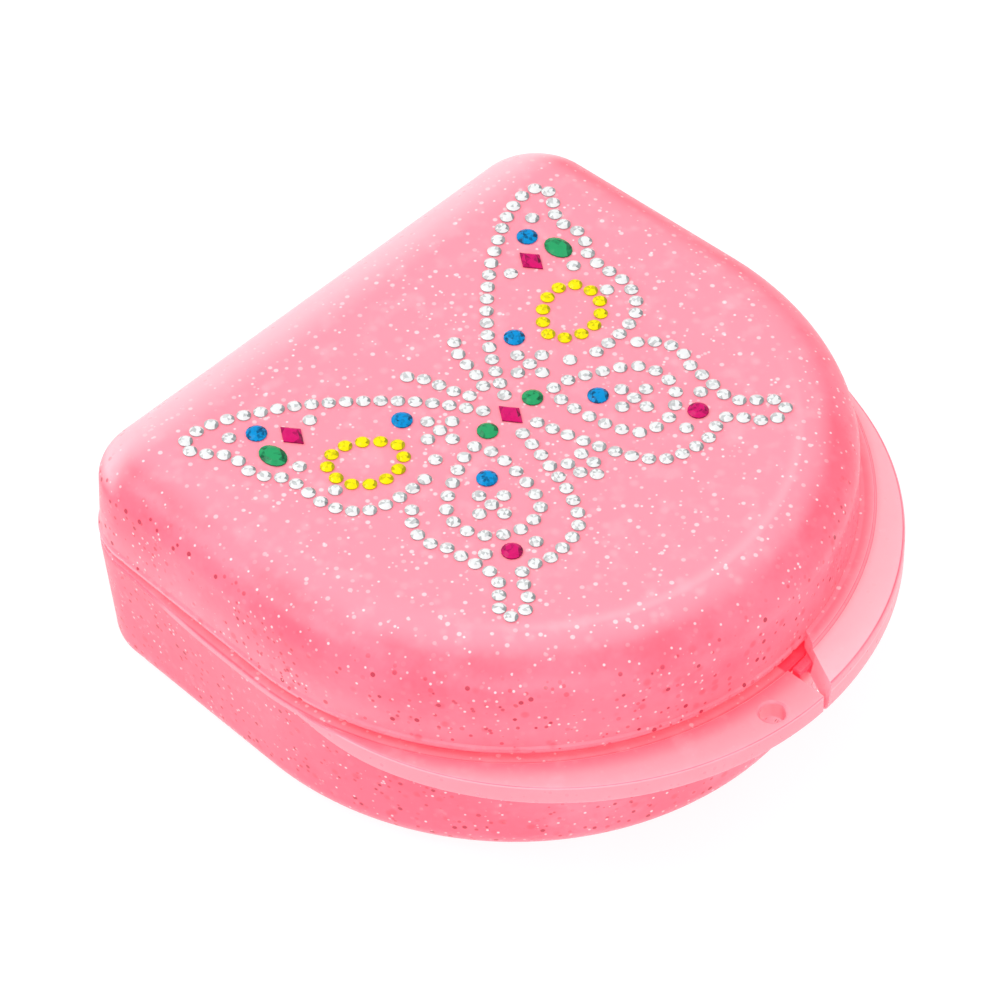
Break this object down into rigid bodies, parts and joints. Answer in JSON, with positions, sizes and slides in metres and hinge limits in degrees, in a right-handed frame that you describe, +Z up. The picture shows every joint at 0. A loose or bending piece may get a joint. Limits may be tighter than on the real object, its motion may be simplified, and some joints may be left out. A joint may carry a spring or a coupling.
{
  "type": "mouthguard with case",
  "caption": "D-shaped hinged plastic case with split thumb crescents, a stone butterfly on its lid and a two-layer mouthguard lying inside.",
  "frame": {"origin": "under the middle of the whole case, on the surface it stands on", "axes": "+Z up through the lid, -Y towards the round front with the thumb crescents, +Y towards the hinges, X across"},
  "size_m": [0.088, 0.0926, 0.0356],
  "materials": {
    "case_plastic": "milky translucent pink with glitter flakes, satin gloss",
    "guard_shell": "frosted white moulded plastic",
    "guard_liner": "soft satin",
    "clear_stone": "faceted, foil backed",
    "blue_stone": "faceted, foil backed",
    "green_stone": "faceted, foil backed",
    "magenta_stone": "faceted, foil backed",
    "yellow_stone": "faceted, foil backed"
  },
  "bodies": {
    "base": {"base_shell": "case_plastic"},
    "lid": {"lid_shell": "case_plastic", "antenna_left": "clear_stone", "antenna_right": "clear_stone", "blue_hindwing_left": "blue_stone", "blue_hindwing_right": "blue_stone", "blue_middle_left": "blue_stone", "blue_middle_right": "blue_stone", "blue_tip_left": "blue_stone", "blue_tip_right": "blue_stone", "body_tail": "clear_stone", "clear_forewing_edge_left": "clear_stone", "clear_forewing_edge_right": "clear_stone", "clear_forewing_front_left": "clear_stone", "clear_forewing_front_right": "clear_stone", "clear_forewing_root_left": "clear_stone", "clear_forewing_root_right": "clear_stone", "clear_forewing_side_left": "clear_stone", "clear_forewing_side_right": "clear_stone", "clear_forewing_tip_left": "clear_stone", "clear_forewing_tip_right": "clear_stone", "clear_hindwing_end_left": "clear_stone", "clear_hindwing_end_right": "clear_stone", "clear_hindwing_side_left": "clear_stone", "clear_hindwing_side_right": "clear_stone", "forewing_cluster_left": "clear_stone", "forewing_cluster_right": "clear_stone", "forewing_leaf_left": "yellow_stone", "forewing_leaf_right": "yellow_stone", "forewing_outline_left": "clear_stone", "forewing_outline_right": "clear_stone", "green_body_left": "green_stone", "green_body_right": "green_stone", "green_oval_left": "green_stone", "green_oval_right": "green_stone", "hindwing_cluster_left": "clear_stone", "hindwing_cluster_right": "clear_stone", "hindwing_outline_left": "clear_stone", "hindwing_outline_right": "clear_stone", "hindwing_ring_left": "clear_stone", "hindwing_ring_right": "clear_stone", "magenta_body": "magenta_stone", "magenta_hindwing_left": "magenta_stone", "magenta_hindwing_right": "magenta_stone", "magenta_square_left": "magenta_stone", "magenta_square_right": "magenta_stone"},
    "mouthguard": {"mouthguard_shell": "guard_shell", "mouthguard_liner": "guard_liner"}
  },
  "joints": [
    {"name": "lid_hinge", "type": "hinge", "parent": "base", "child": "lid", "pos_m": [0, 0.04395, 0.021], "axis": [-1, 0, 0], "range_deg": [0, 170]},
    {"name": "mouthguard_lift", "type": "slide", "parent": "base", "child": "mouthguard", "axis": [0, 0, 1], "range_m": [0, 0.009]}
  ]
}
